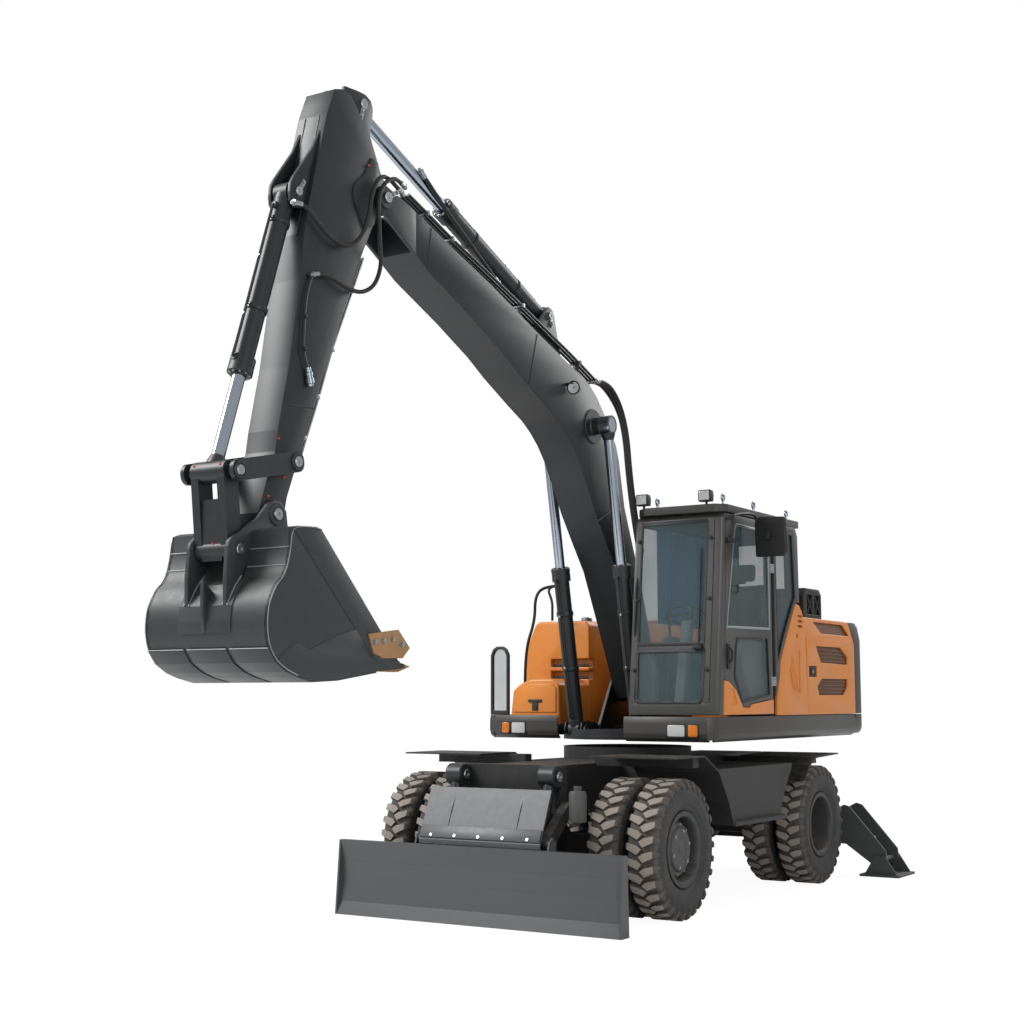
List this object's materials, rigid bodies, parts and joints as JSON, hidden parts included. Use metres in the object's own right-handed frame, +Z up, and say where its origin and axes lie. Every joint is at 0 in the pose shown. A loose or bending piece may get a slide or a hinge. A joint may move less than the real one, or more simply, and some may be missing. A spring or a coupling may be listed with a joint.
{
  "type": "wheeled excavator",
  "caption": "Wheeled excavator with twin tyres, front blade, rear outriggers, left-hand cab, one-piece boom, arm and bucket; wheels, steering, slew, digging gear and cab door move.",
  "frame": {"origin": "on the ground, at the middle of the overall length and width", "axes": "+X to the front, over the blade and bucket, +Y to the left, the cab side, +Z up"},
  "size_m": [8.21, 3.38, 5.86],
  "materials": {
    "tyre_rubber": "dusty",
    "rim_paint": "satin",
    "chrome_rod": "polished",
    "cab_glass": "tinted",
    "orange_paint": "satin",
    "seat_cloth": "woven",
    "grey_plastic": "grained",
    "engine_iron": "painted",
    "bucket_steel": "worn",
    "cab_paint": "satin",
    "dark_paint": "satin"
  },
  "bodies": {
    "undercarriage": {"chassis_frame": "dark_paint", "front_axle": "dark_paint", "rear_axle": "dark_paint", "drive_train": "dark_paint", "fenders": "dark_paint", "side_steps": "dark_paint", "outrigger_beam": "dark_paint"},
    "knuckle_left": {"knuckle_left": "dark_paint"},
    "knuckle_right": {"knuckle_right": "dark_paint"},
    "blade_upper_links": {"blade_upper_links": "dark_paint"},
    "blade_lower_links": {"blade_lower_links": "dark_paint"},
    "blade": {"blade": "dark_paint", "blade_guard": "dark_paint"},
    "blade_cylinder_barrels": {"blade_cylinder_barrels": "dark_paint"},
    "blade_cylinder_rods": {"blade_cylinder_rods": "chrome_rod"},
    "upper": {"upper_frame": "dark_paint", "counterweight": "dark_paint", "engine_block": "engine_iron", "engine_hood": "orange_paint", "side_doors": "orange_paint", "right_tank": "orange_paint", "toolbox": "orange_paint", "cab_shell": "cab_paint", "cab_roof": "cab_paint", "cab_glass": "cab_glass", "seat": "seat_cloth", "controls": "grey_plastic", "rails_and_mirrors": "dark_paint"},
    "cab_door": {"cab_door": "cab_paint", "cab_door_glass": "cab_glass"},
    "boom": {"boom": "dark_paint"},
    "boom_cylinder_barrels": {"boom_cylinder_barrels": "dark_paint"},
    "boom_cylinder_rods": {"boom_cylinder_rods": "chrome_rod"},
    "arm_cylinder_barrel": {"arm_cylinder_barrel": "dark_paint"},
    "arm_cylinder_rod": {"arm_cylinder_rod": "chrome_rod"},
    "arm": {"arm": "dark_paint"},
    "bucket_cylinder_barrel": {"bucket_cylinder_barrel": "dark_paint"},
    "bucket_cylinder_rod": {"bucket_cylinder_rod": "chrome_rod"},
    "bucket_rocker": {"bucket_rocker": "dark_paint"},
    "bucket_link": {"bucket_link": "dark_paint"},
    "bucket": {"bucket": "bucket_steel"},
    "wheel_front_left": {"tyres_front_left": "tyre_rubber", "rims_front_left": "rim_paint"},
    "wheel_front_right": {"tyres_front_right": "tyre_rubber", "rims_front_right": "rim_paint"},
    "wheel_rear_left": {"tyres_rear_left": "tyre_rubber", "rims_rear_left": "rim_paint"},
    "wheel_rear_right": {"tyres_rear_right": "tyre_rubber", "rims_rear_right": "rim_paint"},
    "outrigger_leg_left": {"outrigger_leg_left": "dark_paint"},
    "outrigger_pad_left": {"outrigger_pad_left": "dark_paint"},
    "outrigger_barrel_left": {"outrigger_barrel_left": "dark_paint"},
    "outrigger_rod_left": {"outrigger_rod_left": "chrome_rod"},
    "outrigger_leg_right": {"outrigger_leg_right": "dark_paint"},
    "outrigger_pad_right": {"outrigger_pad_right": "dark_paint"},
    "outrigger_barrel_right": {"outrigger_barrel_right": "dark_paint"},
    "outrigger_rod_right": {"outrigger_rod_right": "chrome_rod"}
  },
  "joints": [
    {"name": "steer_left", "type": "hinge", "parent": "undercarriage", "child": "knuckle_left", "pos_m": [0.097, 0.56, 0.53], "axis": [0, 0, 1], "range_deg": [-27, 27]},
    {"name": "steer_right", "type": "hinge", "parent": "undercarriage", "child": "knuckle_right", "pos_m": [0.097, -0.56, 0.53], "axis": [0, 0, 1], "range_deg": [-27.5, 27.5]},
    {"name": "roll_front_left", "type": "hinge", "parent": "knuckle_left", "child": "wheel_front_left", "pos_m": [0.097, 1.122, 0.53], "axis": [0, 1, 0], "continuous": true},
    {"name": "roll_rear_left", "type": "hinge", "parent": "undercarriage", "child": "wheel_rear_left", "pos_m": [-2.743, 1.122, 0.53], "axis": [0, 1, 0], "continuous": true},
    {"name": "roll_front_right", "type": "hinge", "parent": "knuckle_right", "child": "wheel_front_right", "pos_m": [0.097, -1.122, 0.53], "axis": [0, 1, 0], "continuous": true},
    {"name": "roll_rear_right", "type": "hinge", "parent": "undercarriage", "child": "wheel_rear_right", "pos_m": [-2.743, -1.122, 0.53], "axis": [0, 1, 0], "continuous": true},
    {"name": "slew", "type": "hinge", "parent": "undercarriage", "child": "upper", "pos_m": [-1.323, 0, 1.315], "axis": [0, 0, 1], "continuous": true},
    {"name": "door_swing", "type": "hinge", "parent": "upper", "child": "cab_door", "pos_m": [-1.723, 1.24, 2.3], "axis": [0, 0, 1], "range_deg": [0, 110]},
    {"name": "blade_lift", "type": "hinge", "parent": "undercarriage", "child": "blade_upper_links", "pos_m": [0.677, 0, 0.85], "axis": [0, -1, 0], "range_deg": [-10, 46]},
    {"name": "blade_lower_turn", "type": "hinge", "parent": "undercarriage", "child": "blade_lower_links", "pos_m": [0.637, 0, 0.42], "axis": [0, -1, 0], "range_deg": [-10.5, 46.5]},
    {"name": "blade_level", "type": "hinge", "parent": "blade_upper_links", "child": "blade", "pos_m": [0.982, 0, 0.6], "axis": [0, -1, 0], "range_deg": [-46.5, 10.5]},
    {"name": "blade_barrel_turn", "type": "hinge", "parent": "undercarriage", "child": "blade_cylinder_barrels", "pos_m": [0.717, 0, 1.08], "axis": [0, -1, 0], "range_deg": [-3.92, 16.26]},
    {"name": "blade_rod_slide", "type": "slide", "parent": "blade_cylinder_barrels", "child": "blade_cylinder_rods", "axis": [0.28, 0, -0.96], "range_m": [-0.22728, 0.05097]},
    {"name": "outrigger_lift_left", "type": "hinge", "parent": "undercarriage", "child": "outrigger_leg_left", "pos_m": [-3.743, 0.6, 0.4], "axis": [1, 0, 0], "range_deg": [-5, 50]},
    {"name": "outrigger_pad_tilt_left", "type": "hinge", "parent": "outrigger_leg_left", "child": "outrigger_pad_left", "pos_m": [-3.743, 1.5, 0.155], "axis": [1, 0, 0], "range_deg": [-20, 20]},
    {"name": "outrigger_barrel_turn_left", "type": "hinge", "parent": "undercarriage", "child": "outrigger_barrel_left", "pos_m": [-3.743, 0.42, 0.92], "axis": [1, 0, 0], "range_deg": [-3.74, 32.88]},
    {"name": "outrigger_rod_slide_left", "type": "slide", "parent": "outrigger_barrel_left", "child": "outrigger_rod_left", "axis": [0, 0.8444, -0.5357], "range_m": [-0.37458, 0.03926]},
    {"name": "outrigger_lift_right", "type": "hinge", "parent": "undercarriage", "child": "outrigger_leg_right", "pos_m": [-3.743, -0.6, 0.4], "axis": [-1, 0, 0], "range_deg": [-5, 50]},
    {"name": "outrigger_pad_tilt_right", "type": "hinge", "parent": "outrigger_leg_right", "child": "outrigger_pad_right", "pos_m": [-3.743, -1.5, 0.155], "axis": [-1, 0, 0], "range_deg": [-20, 20]},
    {"name": "outrigger_barrel_turn_right", "type": "hinge", "parent": "undercarriage", "child": "outrigger_barrel_right", "pos_m": [-3.743, -0.42, 0.92], "axis": [-1, 0, 0], "range_deg": [-3.74, 32.88]},
    {"name": "outrigger_rod_slide_right", "type": "slide", "parent": "outrigger_barrel_right", "child": "outrigger_rod_right", "axis": [0, -0.8444, -0.5357], "range_m": [-0.37458, 0.03926]},
    {"name": "boom_lift", "type": "hinge", "parent": "upper", "child": "boom", "pos_m": [-1.503, 0, 1.76], "axis": [0, -1, 0], "range_deg": [-66, 22]},
    {"name": "boom_barrel_turn", "type": "hinge", "parent": "upper", "child": "boom_cylinder_barrels", "pos_m": [-0.953, 0, 1.4], "axis": [0, -1, 0], "range_deg": [-66.5, 22.5]},
    {"name": "boom_rod_slide", "type": "slide", "parent": "boom_cylinder_barrels", "child": "boom_cylinder_rods", "axis": [0.1954, 0, 0.9807], "range_m": [-0.69157, 0.23186]},
    {"name": "arm_turn", "type": "hinge", "parent": "boom", "child": "arm", "pos_m": [2.521, 0, 5.14], "axis": [0, 1, 0], "range_deg": [-62, 38]},
    {"name": "arm_barrel_turn", "type": "hinge", "parent": "boom", "child": "arm_cylinder_barrel", "pos_m": [0.177, 0, 4.8], "axis": [0, 1, 0], "range_deg": [-6.87, 4.41]},
    {"name": "arm_rod_slide", "type": "slide", "parent": "arm_cylinder_barrel", "child": "arm_cylinder_rod", "axis": [0.9315, 0, 0.3637], "range_m": [-0.60705, 0.37284]},
    {"name": "bucket_curl", "type": "hinge", "parent": "arm", "child": "bucket", "pos_m": [3.608, 0, 2.804], "axis": [0, 1, 0], "range_deg": [-65, 55]},
    {"name": "rocker_turn", "type": "hinge", "parent": "arm", "child": "bucket_rocker", "pos_m": [3.474, 0, 3.149], "axis": [0, 1, 0], "range_deg": [-45.5, 38.57]},
    {"name": "bucket_link_turn", "type": "hinge", "parent": "bucket_rocker", "child": "bucket_link", "pos_m": [4.003, 0, 3.033], "axis": [0, 1, 0], "range_deg": [-20.04, 23.59]},
    {"name": "bucket_barrel_turn", "type": "hinge", "parent": "arm", "child": "bucket_cylinder_barrel", "pos_m": [3.38, 0, 4.956], "axis": [0, 1, 0], "range_deg": [-5.91, 5.08]},
    {"name": "bucket_rod_slide", "type": "slide", "parent": "bucket_cylinder_barrel", "child": "bucket_cylinder_rod", "axis": [0.3082, 0, -0.9513], "range_m": [-0.36526, 0.30938]}
  ],
  "couplings": [
    {"joint": "steer_right", "follows": "steer_left", "ratio": 1},
    {"joint": "blade_lower_turn", "follows": "blade_lift", "ratio": 1},
    {"joint": "blade_level", "follows": "blade_lift", "ratio": -1},
    {"joint": "blade_barrel_turn", "follows": "blade_lift", "ratio": 0.3425},
    {"joint": "blade_rod_slide", "follows": "blade_lift", "m_per_rad": -0.2806},
    {"joint": "outrigger_barrel_turn_left", "follows": "outrigger_lift_left", "ratio": 0.64755},
    {"joint": "outrigger_rod_slide_left", "follows": "outrigger_lift_left", "m_per_rad": -0.42694},
    {"joint": "outrigger_barrel_turn_right", "follows": "outrigger_lift_right", "ratio": 0.64755},
    {"joint": "outrigger_rod_slide_right", "follows": "outrigger_lift_right", "m_per_rad": -0.42694},
    {"joint": "boom_barrel_turn", "follows": "boom_lift", "ratio": 1.0001},
    {"joint": "boom_rod_slide", "follows": "boom_lift", "m_per_rad": 0.59863},
    {"joint": "arm_barrel_turn", "follows": "arm_turn", "ratio": 0.10277},
    {"joint": "arm_rod_slide", "follows": "arm_turn", "m_per_rad": 0.55914},
    {"joint": "rocker_turn", "follows": "bucket_curl", "ratio": 0.69227},
    {"joint": "bucket_link_turn", "follows": "bucket_curl", "ratio": -0.35519},
    {"joint": "bucket_barrel_turn", "follows": "bucket_curl", "ratio": 0.083297},
    {"joint": "bucket_rod_slide", "follows": "bucket_curl", "m_per_rad": 0.32021}
  ]
}
